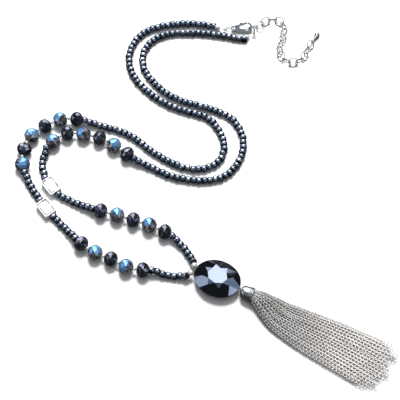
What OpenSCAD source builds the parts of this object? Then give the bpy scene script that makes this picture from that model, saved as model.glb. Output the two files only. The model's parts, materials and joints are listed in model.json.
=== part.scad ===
// Long beaded necklace with a faceted oval pendant and a chain tassel, laid on a table.
// Millimetres. Z is up, the table is Z = 0 and the origin is the middle of the laid-out outline.

/* [Crystal beads] */
// Diameter across a crystal bead
crystal_d = 8.6; // [7:0.1:9]
// Length of a black crystal bead along the string
black_l = 6.7; // [5:0.1:7.5]
// Length of a blue crystal bead along the string
blue_l = 7.5; // [6:0.1:8.5]
// Hole through a crystal bead
crystal_bore = 1.5; // [1.2:0.1:1.8]
// Facets round the middle of a crystal bead
crystal_facets = 10; // [8:1:12]

/* [Small metal beads] */
// Diameter of the spacer beads between crystals
spacer_d = 1.9; // [1.6:0.1:2.6]
// Hole through a spacer bead
spacer_bore = 1; // [0.8:0.1:1.2]
// Diameter of the bead at each side of the pendant's hole
end_bead_d = 3.3; // [2.8:0.1:3.8]

/* [Seed beads] */
// Outer diameter of the seed beads
seed_d = 4.2; // [3.4:0.1:4.6]
// Length of string that one seed bead takes
seed_pitch = 3.05; // [2.8:0.05:3.3]
// Seed beads on the clasp side: pendant to crystals, crystals to box bead, box bead to crystals
seeds_a = [7, 7, 7]; // [5:1:9]
// Seed beads on the extender side, in the same order
seeds_b = [7, 8, 7]; // [5:1:9]

/* [Box beads] */
// Length of a box bead along the string
box_l = 10; // [8:0.1:12]
// Width of a box bead
box_w = 7.3; // [6:0.1:9]
// Thickness of a box bead
box_t = 4.3; // [3.2:0.1:5]
// Corner radius of a box bead
box_corner = 1; // [0.6:0.1:1.6]
// Width of the raised rim round a box bead's faces
box_rim = 0.8; // [0.5:0.1:1.2]
// Depth of a box bead's face below its rim
box_sink = 0.25; // [0.1:0.05:0.4]
// Hole through a box bead
box_bore = 1.4; // [1:0.1:1.8]

/* [Pendant stone] */
// Length of the oval stone
stone_l = 26; // [24:0.2:30]
// Width of the oval stone
stone_w = 20.6; // [18:0.2:24]
// Thickness of the stone
stone_t = 10; // [9:0.2:12]
// Height of the stone's edge band
stone_girdle = 1.4; // [0.8:0.1:2]
// Hole along the stone
stone_bore = 2; // [1.8:0.1:2.4]

/* [Tassel] */
// Length of the bell cap
cap_l = 7; // [6:0.2:9]
// Diameter of the flat on the cap's closed end
cap_top_d = 3.4; // [3.2:0.1:5]
// Length of the cap's round shoulder
cap_dome = 3; // [2:0.1:3.6]
// Diameter over the cap's rim
cap_rim_d = 8.4; // [8:0.1:9]
// Wall of the cap
cap_wall = 0.5; // [0.4:0.05:0.7]
// Thickness of each raised ring round the cap's rim
cap_ring = 0.8; // [0.6:0.05:1]
// Hole in the cap's closed end
cap_hole = 2.2; // [2:0.1:2.4]
// Length of the longest lock of the tassel
fringe_l = 84; // [70:1:95]
// Width of the fanned-out end of the tassel
fringe_w = 30; // [24:1:36]
// Thickness of the tassel where it lies on the table
fringe_t = 3.6; // [3:0.1:4.5]

/* [Thread] */
// Diameter of the stringing thread
thread_d = 0.4; // [0.3:0.05:0.5]
// Diameter of the cord that holds the tassel
cord_d = 0.9; // [0.8:0.05:1.1]

/* [Bead tips] */
// Diameter of the cup over the last seed bead
tip_d = 3; // [2.6:0.1:3.6]
// Length of that cup
tip_l = 3; // [2.4:0.1:4]
// Length of the arm between the cup and its loop
tip_arm = 1.8; // [1.4:0.1:2.4]
// Diameter of the loop, measured to the middle of its wire
tip_loop_d = 1.9; // [1.8:0.05:2.2]
// Wire of the loop
tip_wire = 0.5; // [0.4:0.05:0.6]

/* [Clasp] */
// Length of the lobster clasp from the middle of its eye to the middle of its end bar
clasp_l = 10.5; // [10:0.1:12]
// Width of the clasp over its claw
claw_w = 6.2; // [5.8:0.1:7]
// Thickness of the clasp
clasp_t = 1.8; // [1.6:0.1:2]
// Width of the claw's bar
claw_bar = 1.1; // [0.9:0.05:1.3]
// Outer diameter of the clasp's eye
eye_d = 3; // [2.8:0.1:3.4]
// Hole in the clasp's eye
eye_hole = 1.8; // [1.7:0.05:2]
// Thickness of the eye
eye_t = 1.1; // [0.8:0.1:1.4]
// Diameter of the pin that the lever turns on
pin_d = 0.9; // [0.7:0.05:1.1]
// Radial clearance of the lever on its pin
pin_clear = 0.04; // [0.02:0.01:0.08]
// Gap between the lever and the claw
lever_gap = 0.15; // [0.1:0.01:0.25]
// Thickness of the lever where it passes between the claw's cheeks
lever_t = 0.8; // [0.7:0.05:0.9]

/* [Rings and extender chain] */
// Outer diameter of a chain link or jump ring
link_d = 5.8; // [5.4:0.1:6]
// Wire of a chain link or jump ring
link_wire = 0.6; // [0.5:0.05:0.65]
// Number of links in the extender chain
links = 17; // [8:1:17]
// Slack between two neighbouring links
link_slack = 0.4; // [0.3:0.05:0.6]
// Length of the drop at the extender's end
drop_l = 7.6; // [5.5:0.1:9]
// Diameter of the drop
drop_d = 3; // [2.6:0.1:3.6]

/* [Clearances] */
// Gap between neighbouring pieces on a string
bead_gap = 0.1; // [0.1:0.01:0.2]
// Gap between a crystal and the spacer beads beside it
spacer_gap = 0.22; // [0.2:0.01:0.35]
// Gap between the clasp's end bar and the ring that it holds
hook_gap = 0.17; // [0.1:0.01:0.2]
// Play between the tassel's head or knot and the cap
head_clear = 0.2; // [0.15:0.01:0.3]

/* [Hidden] */
// Middle of the laid-out outline before it is brought to the origin
middle = [0.29, 4.04];

// Crystals in the group nearer the pendant and in the group nearer the neck
low_count = 5;
up_count = 6;

// Where the pendant lies: middle of the stone and the way its hole points, towards the tassel
stone_at = [9.4, -48.7];
stone_yaw = -22;
// Where the cap lies past and beside the hole's end, and how far it is turned from the hole
cap_ahead = 1.2;
cap_side = -1.5;
cap_yaw = -1;
// Where the clasp holds the first ring, and the way the clasp and that ring point
hook_at = [31.6, 111];
clasp_yaw = 5;
hook_yaw = 12;
// How far the clasp, its ring and the rings after it lean over
clasp_roll = 35;
clasp_ring_roll = -30;
hook_roll = -50;
link_roll = 45;
// The way the tips point on the clasp side and on the extender side
tip_a_yaw = -17;
tip_b_yaw = 23;

// Where each string passes next, from the end of the pendant's hole
lead_a = [-2.5, -1.4];
lead_b = [-0.5, 2.9];
// The clasp side of the string, from there to the clasp
side_a_points = [
    [-8.5, -46.5], [-12, -47], [-15.5, -46.5], [-19.5, -45], [-24.5, -43.5], [-30.5, -43.5],
    [-40, -41.5], [-48.5, -37], [-57, -33.5], [-65, -28], [-70.5, -22], [-76, -16.5],
    [-81.5, -10.5], [-85.5, -6], [-89, -1], [-92.5, 4], [-96, 10], [-98.5, 16],
    [-100, 22], [-99, 30.5], [-95, 39], [-87.5, 44.5], [-79, 48.5], [-70, 48.5], [-59, 46],
    [-45, 42], [-37, 37.5], [-31, 32], [-24, 27], [-17, 22.5], [-11.5, 20], [-4.5, 18],
    [2.5, 18.5], [8, 21], [12, 24.5], [13.5, 29], [13.5, 34.5], [12, 40], [9, 45.5], [5, 50],
    [-0.5, 52.5], [-12.5, 56.5], [-21, 60.5], [-31, 68.5], [-37.5, 76.5], [-41, 83],
    [-41.5, 89.5], [-40.5, 96], [-37.5, 102.5], [-32, 108], [-25, 111], [-18, 112.5],
    [-10.5, 113.3], [-0.5, 113.3]];
// The extender side of the string, to the extender
side_b_points = [
    [-4, -37.5], [-6, -33.5], [-9, -29.5], [-12.5, -25.5], [-16.5, -22.5], [-20.5, -20.5],
    [-29, -16.5], [-38, -13.5], [-47.5, -10.5], [-56.5, -8], [-61.5, -6], [-67.5, -3.5],
    [-73.5, -1], [-78.5, 2], [-82.5, 6.5], [-86, 11.5], [-88.5, 16], [-89, 21], [-88.5, 26],
    [-86.5, 30.5], [-82.5, 35], [-75.5, 39.5], [-66.5, 39], [-56.5, 36.5], [-48, 31.5],
    [-40.5, 26], [-35, 22.5], [-29, 20], [-22.5, 16.5], [-15.5, 13.5], [-6.5, 11.5], [3, 11],
    [10, 11.5], [15, 15], [20, 20], [23.5, 26], [24.5, 33], [24, 39.5], [21.5, 45.5], [17, 51],
    [8.5, 55.5], [-0.5, 58.5], [-9, 61], [-17, 65], [-24, 70.5], [-30, 78], [-33, 84],
    [-33.5, 91], [-32, 96.5], [-29, 101], [-23.5, 104.5], [-17.5, 106.5], [-10.5, 107],
    [-0.5, 107], [9, 106], [19, 104]];
// The extender chain, after its first ring
extender_points = [
    [35.5, 112.5], [39, 115], [43, 116], [47, 115], [49.5, 111.5], [49.5, 107], [48.5, 102],
    [47, 97], [47, 92.5], [49.5, 89], [54, 87], [58.5, 88.5], [61.5, 92], [63.5, 96],
    [65.5, 100], [68, 104], [71, 108]];
// The middle of the tassel, after the cap
fringe_points = [
    [38, -67.5], [45, -72.5], [53, -77], [61, -81], [70, -85.5], [80, -90.5], [92, -97],
    [104, -103]];

// Facet rings of a crystal bead: [share of its radius, share of its half length]
crystal_rings = [[0.46, 1], [0.84, 0.64], [1, 0.18]];
// Levels of the stone: [share of its half size, share of its half thickness above the edge band]
stone_table = 0.43;
stone_star = [0.66, 0.67];
// Outline of a tip's cup: [share of its radius, share of its length]
tip_profile = [[0, 0], [1, 0], [1, 0.3], [0.72, 0.7]];
// The drop's widest straight part: [share of its radius, share of its length]
drop_cone = [0.93, 0.66];
// Length of each lock of the tassel, as a share of the longest, across its end
lock_lengths = [0.95, 1, 0.985, 0.975, 0.98, 0.995, 0.96, 0.935, 0.975, 0.91];
// Shares of a lock's length where it has a section
lock_rows = [0, 0.04, 0.09, 0.15, 0.22, 0.3, 0.42, 0.6, 0.78, 0.92, 1];
// Share of the tassel's length over which it comes down to the table
fringe_settle = 0.29;
// How the tassel widens: its half width grows with this power of the share of its length
fringe_flare = 0.56;
// Thickness in the grooves between locks, as a share of that at their crests
lock_groove = 0.55;
// How far the grooves end before the locks, as a share of the longest lock
lock_notch = 0.02;

// Steps between two route points, and sides and spacing of the rings of a string
steps = 6;
string_sides = 8;
string_step = 2.6 * seed_d;
// Length over which a string climbs from the table to a higher bead
climb = 9;
// Thread between the pendant's hole and the bead beside it
end_bead_lead = 1.25;
// Steps of the cap's round shoulder
dome_steps = 8;
// How far a string runs straight out of a bead's face, and straight into a tip
straight = 1;
tip_lead = 3.5;

// Heights of the string at each kind of piece
seed_z = seed_d / 2;
crystal_z = crystal_d / 2;
box_z = max(box_t, seed_d) / 2;
stone_z = stone_t / 2;
cap_z = cap_rim_d / 2;
link_r = (link_d - link_wire) / 2;
link_z = link_r * sin(link_roll) + link_wire / 2;
hook_z = link_r * sin(abs(hook_roll)) + link_wire / 2;
clasp_z = claw_w / 2 * sin(clasp_roll) + clasp_t / 2 * cos(clasp_roll);
link_pitch = 2 * link_r - link_wire - link_slack;

function unit(v) = v / norm(v);
function ease(t) = let (c = min(max(t, 0), 1)) c * c * (3 - 2 * c);
function aim(yaw) = [cos(yaw), sin(yaw), 0];
function flat(v) = [v.x, v.y];
function lift(p, z) = [p.x, p.y, z];
function yaw_of(v) = atan2(v.y, v.x);

// A curve through four points, between the middle two
function bow(a, b, c, d, t) =
    0.5 * (2 * b + (c - a) * t + (2 * a - 5 * b + 4 * c - d) * t * t
        + (3 * b - a - 3 * c + d) * t * t * t);
function curve(p) =
    let (n = len(p))
    concat([for (i = [0:n - 2], k = [0:steps - 1])
            bow(p[max(i - 1, 0)], p[i], p[i + 1], p[min(i + 2, n - 1)], k / steps)],
        [p[n - 1]]);
// A way is two tables that give X and Y by the distance along it, and its length
function way(p) =
    let (c = curve(p),
        run = [for (i = 0, s = 0; i < len(c);
            s = s + (i + 1 < len(c) ? norm(c[i + 1] - c[i]) : 0), i = i + 1) s])
    [[for (i = [0:len(c) - 1]) [run[i], c[i].x]],
     [for (i = [0:len(c) - 1]) [run[i], c[i].y]],
     run[len(c) - 1]];
function way_at(w, s) = [lookup(s, w[0]), lookup(s, w[1])];
function way_yaw(w, s) = yaw_of(way_at(w, s + 0.4) - way_at(w, s - 0.4));

// The stone's hole ends: where the strings enter and where the tassel's cord leaves
mouth = lift(stone_at, stone_z) - aim(stone_yaw) * stone_l / 2;
outlet = lift(stone_at, stone_z) + aim(stone_yaw) * stone_l / 2;
across = [-sin(stone_yaw), cos(stone_yaw), 0];
cap_aim = aim(stone_yaw + cap_yaw);
cap_at = lift(outlet + across * cap_side, cap_z) + cap_aim * cap_ahead;

// The clasp is laid out back from the ring that it holds
bar_reach = link_r - link_wire / 2 - hook_gap;
bar_half = clasp_t / 2 + abs(clasp_z - hook_z);
bar_back = sqrt(bar_reach * bar_reach - bar_half * bar_half) - claw_bar / 2;
clasp_end = lift(hook_at, clasp_z) - aim(clasp_yaw) * bar_back;
eye_at = clasp_end - aim(clasp_yaw) * clasp_l;
ring_run = sqrt(4 * link_r * link_r - pow(eye_at.z - seed_z, 2));
loop_a = lift(eye_at - aim(clasp_yaw) * ring_run, seed_z);
tip_total = tip_l + tip_arm + tip_loop_d / 2;
tip_a_at = loop_a - aim(tip_a_yaw) * tip_total;

// The ring between the first ring and the tip on the extender side stands upright
join_r = link_r;
hook_side = lift(hook_at, hook_z) + [sin(hook_yaw), -cos(hook_yaw), 0] * link_r * cos(hook_roll)
    + [0, 0, link_r * sin(abs(hook_roll))];
join_z = join_r + link_wire / 2;
join_hold = join_r - link_wire - link_slack;
join_drop = hook_side.z - join_z;
join_at = [hook_side.x, hook_side.y - sqrt(join_hold * join_hold - join_drop * join_drop), join_z];
loop_b = [join_at.x, join_at.y - sqrt(join_r * join_r - pow(join_z - seed_z, 2)), seed_z];
tip_b_at = loop_b - aim(tip_b_yaw) * tip_total;

way_a = way(concat([flat(mouth), flat(mouth) + lead_a], side_a_points,
    [flat(tip_a_at - aim(tip_a_yaw) * tip_lead), flat(tip_a_at)]));
way_b = way(concat([flat(mouth), flat(mouth) + lead_b], side_b_points,
    [flat(tip_b_at - aim(tip_b_yaw) * tip_lead), flat(tip_b_at)]));

// Lengths along a string. Crystals alternate: black first near the pendant, blue first above
spacer_step = spacer_d + 2 * spacer_gap;
function is_black(up, i) = (i + (up ? 1 : 0)) % 2 == 0;
function crystal_l(up, i) = is_black(up, i) ? black_l : blue_l;
function before(up, i) = i == 0 ? 0 : before(up, i - 1) + crystal_l(up, i - 1) + spacer_step;
function count(up) = up ? up_count : low_count;
function group_l(up) = before(up, count(up)) - spacer_step;
bead_s = end_bead_lead + end_bead_d / 2;
seeds1_s = bead_s + end_bead_d / 2 + bead_gap;
function low_s(n) = seeds1_s + n[0] * seed_pitch + 2 * bead_gap;
function box_s(n) = low_s(n) + group_l(false) + n[1] * seed_pitch + 2 * bead_gap;
function up_s(n) = box_s(n) + box_l + n[2] * seed_pitch + 2 * bead_gap;
function group_s(n, up) = up ? up_s(n) : low_s(n);

// A side is its way, its seed counts and its end
side_a = [way_a, seeds_a, way_a[2]];
side_b = [way_b, seeds_b, way_b[2]];

// Height of the string: low on the table, up at the pendant, the crystals and the box bead
function hump(s, from, to) = ease((s - from) / climb + 1) * ease((to - s) / climb + 1);
function height(side, s) =
    let (n = side[1])
    seed_z
    + (stone_z - seed_z) * (1 - ease((s - end_bead_d / 2) / climb))
    + (crystal_z - seed_z) * hump(s, low_s(n), low_s(n) + group_l(false))
    + (box_z - seed_z) * hump(s, box_s(n), box_s(n) + box_l)
    + (crystal_z - seed_z) * hump(s, up_s(n), up_s(n) + group_l(true));
function spot(side, s) = lift(way_at(side[0], s), height(side, s));
function slope(side, s) = unit(spot(side, s + 0.4) - spot(side, s - 0.4));

// A bead on the string: [middle, way it points, length]
function bead(side, s, l) = [spot(side, s), slope(side, s), l];
function level(b) = [b[0], unit([b[1].x, b[1].y, 0]), b[2]];
function crystal_bead(side, up, i) =
    level(bead(side, group_s(side[1], up) + before(up, i) + crystal_l(up, i) / 2,
        crystal_l(up, i)));
function box_bead(side) = level(bead(side, box_s(side[1]) + box_l / 2, box_l));
function end_bead(side) = bead(side, bead_s, end_bead_d);
function front(b) = b[0] - b[1] * b[2] / 2;
function back(b) = b[0] + b[1] * b[2] / 2;
// The spacer between crystals i and i + 1
function spacer_bead(side, up, i) =
    let (p = back(crystal_bead(side, up, i)), q = front(crystal_bead(side, up, i + 1)))
    [(p + q) / 2, unit(q - p), spacer_d];

// What each stretch of seed beads starts from and runs to: [face, way it points, distance along]
function from_of(side, k) =
    let (n = side[1])
    k == 1 ? [back(end_bead(side)), end_bead(side)[1], bead_s + end_bead_d / 2]
    : k == 2 ? let (b = crystal_bead(side, false, low_count - 1))
        [back(b), b[1], low_s(n) + group_l(false)]
    : k == 3 ? let (b = box_bead(side)) [back(b), b[1], box_s(n) + box_l]
    : let (b = crystal_bead(side, true, up_count - 1)) [back(b), b[1], up_s(n) + group_l(true)];
function to_of(side, k, tip_yaw) =
    let (n = side[1])
    k == 1 ? let (b = crystal_bead(side, false, 0)) [front(b), b[1], low_s(n)]
    : k == 2 ? let (b = box_bead(side)) [front(b), b[1], box_s(n)]
    : k == 3 ? let (b = crystal_bead(side, true, 0)) [front(b), b[1], up_s(n)]
    : [spot(side, side[2]), aim(tip_yaw), side[2]];

// Puts its children's X axis along d at p
module along(p, d) {
    translate(p)
    rotate([0, -asin(d.z), yaw_of(d)])
    children();
}

module laid() {
    translate([-middle.x, -middle.y, 0])
    children();
}

// Triangles between n rings of points with so many sides each
function skin(n, sides) =
    [for (i = [0:n - 2], k = [0:sides - 1])
        let (a = i * sides + k, b = i * sides + (k + 1) % sides)
        each [[b + sides, b, a], [a + sides, b + sides, a]]];

// A round rod through points, as one closed skin
module swept(path, d, sides) {
    n = len(path);
    rings = [for (i = [0:n - 1])
        let (t = unit(path[min(i + 1, n - 1)] - path[max(i - 1, 0)]),
            s = unit(cross([0, 0, 1], t)),
            u = cross(t, s))
        for (k = [0:sides - 1])
            path[i] + d / 2 * (cos(360 * k / sides) * s + sin(360 * k / sides) * u)];
    ends = [[for (k = [0:sides - 1]) k], [for (k = [sides - 1:-1:0]) (n - 1) * sides + k]];
    polyhedron(points = rings, faces = concat(skin(n, sides), ends));
}

module ring(d, wire) {
    rotate_extrude()
    translate([(d - wire) / 2, 0])
    circle(d = wire, $fn = 24);
}

// A ring whose plane holds the direction d and leans over by roll about it
module linked(p, d, roll) {
    along(p, d)
    rotate([roll, 0, 0])
    ring(link_d, link_wire);
}

// A round bead turned about its hole
module drilled_ball(d, bore) {
    rotate([0, 90, 0])
    rotate_extrude()
    difference() {
        circle(d = d, $fn = 32);
        translate([-d, -d])
        square([d + bore / 2, 2 * d]);
    }
}

// A cut bead: rings of points, each turned half a step, from one hole to the other
module cut_bead(l) {
    n = crystal_facets;
    last = len(crystal_rings) - 1;
    levels = concat([for (r = crystal_rings) [r[0], -r[1]]],
        [for (i = [last:-1:0]) crystal_rings[i]]);
    m = len(levels);
    points = [for (i = [0:m - 1], k = [0:n - 1])
        let (a = 360 * (k + (i % 2) / 2) / n)
        [levels[i][1] * l / 2, levels[i][0] * crystal_d / 2 * cos(a),
            levels[i][0] * crystal_d / 2 * sin(a)]];
    skin = [for (i = [0:m - 2], k = [0:n - 1])
        let (k2 = (k + 1) % n, a = i * n + k, b = i * n + k2,
            c = (i + 1) * n + k, d = (i + 1) * n + k2)
        each i % 2 == 0 ? [[a, b, c], [b, d, c]] : [[a, b, d], [a, d, c]]];
    ends = [[for (k = [n - 1:-1:0]) k], [for (k = [0:n - 1]) (m - 1) * n + k]];
    difference() {
        polyhedron(points = points, faces = concat(skin, ends));
        rotate([0, 90, 0])
        cylinder(d = crystal_bore, h = 2 * l, center = true, $fn = 24);
    }
}

module crystal(side, number) {
    up = number > low_count;
    i = up ? number - low_count - 1 : number - 1;
    b = crystal_bead(side, up, i);
    color(is_black(up, i) ? "#15171c" : "#5b86c4")
    laid()
    along(b[0], b[1])
    cut_bead(b[2]);
}

module spacers(side, up) {
    color("silver")
    laid()
    for (i = [0:count(up) - 2]) {
        b = spacer_bead(side, up, i);
        along(b[0], b[1])
        drilled_ball(spacer_d, spacer_bore);
    }
}

module end_ball(side) {
    b = end_bead(side);
    color("silver")
    laid()
    along(b[0], b[1])
    drilled_ball(end_bead_d, spacer_bore);
}

module rounded_block(l, w, t, r) {
    linear_extrude(t, center = true)
    union() {
        square([l - 2 * r, w], center = true);
        square([l, w - 2 * r], center = true);
        for (x = [-1, 1], y = [-1, 1])
            translate([x * (l / 2 - r), y * (w / 2 - r)])
            circle(r, $fn = 32);
    }
}

module box(side) {
    b = box_bead(side);
    color("gainsboro")
    laid()
    along(b[0], b[1])
    difference() {
        rounded_block(box_l, box_w, box_t, box_corner);
        for (z = [-1, 1])
            translate([0, 0, z * box_t / 2])
            rounded_block(box_l - 2 * box_rim, box_w - 2 * box_rim, 2 * box_sink,
                box_corner);
        rotate([0, 90, 0])
        cylinder(d = box_bore, h = 2 * box_l, center = true, $fn = 24);
    }
}

// One stretch of seed beads as a plain tube, from face to face
module seeds(side, k, tip_yaw) {
    f = from_of(side, k);
    t = to_of(side, k, tip_yaw);
    a = f[0] + f[1] * bead_gap;
    z = t[0] - t[1] * bead_gap;
    inset = 2 * straight + bead_gap;
    span = t[2] - f[2] - 2 * inset;
    turns = ceil(span / string_step);
    path = concat([a, a + f[1] * straight],
        [for (i = [0:turns]) spot(side, f[2] + inset + span * i / turns)],
        [z - t[1] * straight, z]);
    color("#2c3444")
    laid()
    swept(path, seed_d, string_sides);
}

// The thread of one side, bare where it runs through drilled beads, and into the tip's cup
module thread(side, sign, tip_at, tip_yaw) {
    e = end_bead(side);
    first = mouth + aim(stone_yaw) * stone_bore + across * sign * (thread_d / 2 + bead_gap);
    exit = mouth - aim(stone_yaw) * bead_gap + across * sign * (thread_d / 2 + bead_gap);
    color("dimgray")
    laid() {
        swept([first, exit, front(e), back(e)], thread_d, 6);
        for (up = [false, true])
            swept([for (i = [0:count(up) - 1])
                let (b = crystal_bead(side, up, i))
                each [front(b), back(b)]], thread_d, 6);
        swept([front(box_bead(side)), back(box_bead(side))], thread_d, 6);
        swept([tip_at, tip_at + aim(tip_yaw) * (tip_l - 2 * tip_wire - bead_gap)], thread_d, 6);
    }
}

// Facets of the oval stone: table, stars, kites and edge facets on both faces, round its band
module pendant_stone() {
    n = 8;
    girdle = 4 * n;
    half_band = stone_girdle / 2;
    rise = stone_t / 2 - half_band;
    // A point of the outline so many steps round, the first half a step beside the hole
    function oval(share, step, z) =
        let (a = 360 * (step + 0.5) / n)
        [share * stone_l / 2 * cos(a), share * stone_w / 2 * sin(a), z];
    function face(z) = concat(
        [for (k = [0:n - 1]) oval(stone_table, k + 0.5, z * stone_t / 2)],
        [for (k = [0:n - 1]) oval(stone_star[0], k, z * (half_band + stone_star[1] * rise))],
        [for (k = [0:girdle - 1]) oval(1, k * n / girdle, z * half_band)]);
    // Faces of the upper side: k counts the star points, each at the middle of a table side
    function upper(o) = [for (k = [0:n - 1])
        let (t0 = o + (k + n - 1) % n, t1 = o + k, s = o + n + k, s2 = o + n + (k + 1) % n,
            g = o + 2 * n, at = 4 * k)
        each [[s, t0, t1], [g + (at + 2) % girdle, s, t1], [s2, g + (at + 2) % girdle, t1],
            [g + at + 1, g + at, s], [g + at + 2, g + at + 1, s],
            [g + at + 3, g + at + 2, s2], [g + (at + 4) % girdle, g + at + 3, s2]]];
    per_side = 2 * n + girdle;
    tops = upper(0);
    unders = [for (f = upper(per_side)) [f[2], f[1], f[0]]];
    band = [for (k = [0:girdle - 1])
        let (a = 2 * n + k, b = 2 * n + (k + 1) % girdle)
        each [[b + per_side, a + per_side, a], [b, b + per_side, a]]];
    tables = [[for (k = [n - 1:-1:0]) k], [for (k = [0:n - 1]) per_side + k]];
    color("#232b3d")
    laid()
    along(lift(stone_at, stone_z), aim(stone_yaw))
    difference() {
        polyhedron(points = concat(face(1), face(-1)),
            faces = concat(tops, unders, band, tables));
        rotate([0, 90, 0])
        cylinder(d = stone_bore, h = 2 * stone_l, center = true, $fn = 32);
    }
}

// Cord from inside the stone to a knot inside the cap
module pendant_cord() {
    jog = cap_at - outlet - aim(stone_yaw) * cap_ahead;
    knot_r = (cap_l - 3 * cap_ring - cap_wall) / 2 - head_clear;
    knot = cap_at + cap_aim * (cap_wall + head_clear + knot_r);
    path = [mouth + aim(stone_yaw) * (2 * stone_bore), outlet - aim(stone_yaw) * stone_bore,
        outlet + jog / 5, cap_at - jog / 5, cap_at + cap_aim * cap_wall, knot];
    color("dimgray")
    laid() {
        swept(path, cord_d, 8);
        translate(knot)
        sphere(r = knot_r, $fn = 24);
    }
}

// Bell cap: a turned wall with a round shoulder and raised rings, open towards the tassel
module tassel_cap() {
    rim_r = cap_rim_d / 2 - cap_ring / 2;
    // The turned body, or with an inset the room inside it
    module bell(inset) {
        flat_r = cap_top_d / 2 - inset;
        rotate_extrude()
        polygon(concat([[0, inset]],
            [for (k = [0:dome_steps])
                let (a = 90 * k / dome_steps)
                [flat_r + (rim_r - cap_top_d / 2) * sin(a), inset + (cap_dome - inset) * (1 - cos(a))]],
            [[rim_r - inset, cap_l], [0, cap_l]]));
    }
    color("silver")
    laid()
    along(cap_at, cap_aim)
    rotate([0, 90, 0])
    difference() {
        union() {
            bell(0);
            for (k = [0:2])
                translate([0, 0, cap_l - cap_ring * (k + 0.5)])
                rotate_extrude()
                translate([rim_r, 0])
                circle(d = cap_ring, $fn = 24);
        }
        bell(cap_wall);
        translate([0, 0, -cap_l])
        cylinder(d = cap_hole, h = 3 * cap_l, $fn = 24);
    }
}

// The tassel: one skin of locks side by side, fanned out from a round head in the cap
module tassel_fringe() {
    locks = len(lock_lengths);
    columns = 2 * locks;
    sides = 2 * columns;
    head_r = cap_rim_d / 2 - cap_ring / 2 - cap_wall - head_clear;
    head_l = 3 * cap_ring - head_clear / 2;
    start = cap_at + cap_aim * (cap_l + head_clear);
    fan = way(concat([flat(start - cap_aim * head_l), flat(start), flat(start + cap_aim * head_r)],
        fringe_points));
    // Even columns are the grooves between locks, odd ones their crests
    function share(j) = j % 2 == 1 ? lock_lengths[(j - 1) / 2]
        : min(lock_lengths[max(j / 2 - 1, 0)], lock_lengths[min(j / 2, locks - 1)]) - lock_notch;
    function crest(j) = j == 0 || j == columns ? 0 : j % 2 == 1 ? 1 : lock_groove;
    // A point of the section at share t of its lock's length, on the upper or under side
    function point(t, j, side) =
        let (e = ease(t / fringe_settle),
            s = t < 0 ? 0 : head_l + t * share(j) * fringe_l,
            yaw = way_yaw(fan, s),
            half_w = head_r * (1 - max(t, 0)) + fringe_w / 2 * pow(max(t, 0), fringe_flare),
            half_t = head_r + (fringe_t / 2 - head_r) * e,
            w = cos(180 * j / columns) * (1 - e) + (1 - 2 * j / columns) * e,
            h = sin(180 * j / columns) * (1 - e) + crest(j) * e)
        lift(way_at(fan, s) + w * half_w * [-sin(yaw), cos(yaw)],
            cap_z + (fringe_t / 2 - cap_z) * e + side * half_t * h);
    rows = concat([-1], lock_rows);
    last = (len(rows) - 1) * sides;
    points = [for (t = rows, k = [0:sides - 1])
        k <= columns ? point(t, k, 1) : point(t, sides - k, -1)];
    tips = [for (j = [0:columns - 1])
        each concat(j < columns - 1 ? [[last + j + 1, last + j, last + sides - j - 1]] : [],
            j > 0 ? [[last + j, last + sides - j, last + sides - j - 1]] : [])];
    color("lightgray")
    laid()
    polyhedron(points = points,
        faces = concat(skin(len(rows), sides), [[for (k = [0:sides - 1]) k]], tips));
}

// Cup over the last seed bead, its arm and the loop, in one piece
module tip(at, yaw, loop_roll) {
    color("silver")
    laid()
    along(at, aim(yaw))
    difference() {
        union() {
            rotate([0, 90, 0])
            rotate_extrude()
            polygon(concat([for (q = tip_profile) [q[0] * tip_d / 2, q[1] * tip_l]],
                [[tip_wire / 2, tip_l], [0, tip_l]]));
            rotate([0, 90, 0])
            translate([0, 0, tip_l - tip_wire])
            cylinder(d = tip_wire, h = tip_arm + tip_wire, $fn = 24);
            translate([tip_total, 0, 0])
            rotate([loop_roll, 0, 0])
            ring(tip_loop_d + tip_wire, tip_wire);
        }
        rotate([0, 90, 0])
        translate([0, 0, -tip_l])
        cylinder(d = spacer_bore, h = 2 * tip_l - 2 * tip_wire, $fn = 24);
    }
}

// The clasp's own plane: X from the eye to the end bar, Y towards the lever
module in_clasp() {
    laid()
    translate(eye_at)
    rotate([0, 0, clasp_yaw])
    rotate([clasp_roll, 0, 0])
    children();
}
claw_r = claw_w / 2;
claw_x = clasp_l + claw_bar / 2 - claw_r;
pin_at = [eye_d * 0.9, claw_bar];
neck_y = eye_d / 2 * 0.9;

module claw_outline() {
    translate([claw_x, 0])
    circle(claw_r, $fn = 48);
    polygon([[0, -neck_y], [0, neck_y], [claw_x, claw_r], [claw_x, -claw_r]]);
}

module claw_opening() {
    inner = claw_r - claw_bar;
    translate([claw_x, 0])
    circle(inner, $fn = 48);
    polygon([[pin_at.x + pin_d, -neck_y + claw_bar], [pin_at.x + pin_d, neck_y - claw_bar / 2],
        [claw_x, inner], [claw_x, -inner]]);
}

// The side of the claw that the lever takes up
module lever_place(gap) {
    polygon([[pin_at.x - pin_d / 2 - gap, claw_bar / 4 - gap], [pin_at.x - pin_d / 2 - gap, 2 * claw_r],
        [claw_x + claw_bar / 2 + gap, 2 * claw_r], [claw_x + claw_bar / 2 + gap, claw_bar / 4 - gap]]);
}

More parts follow.
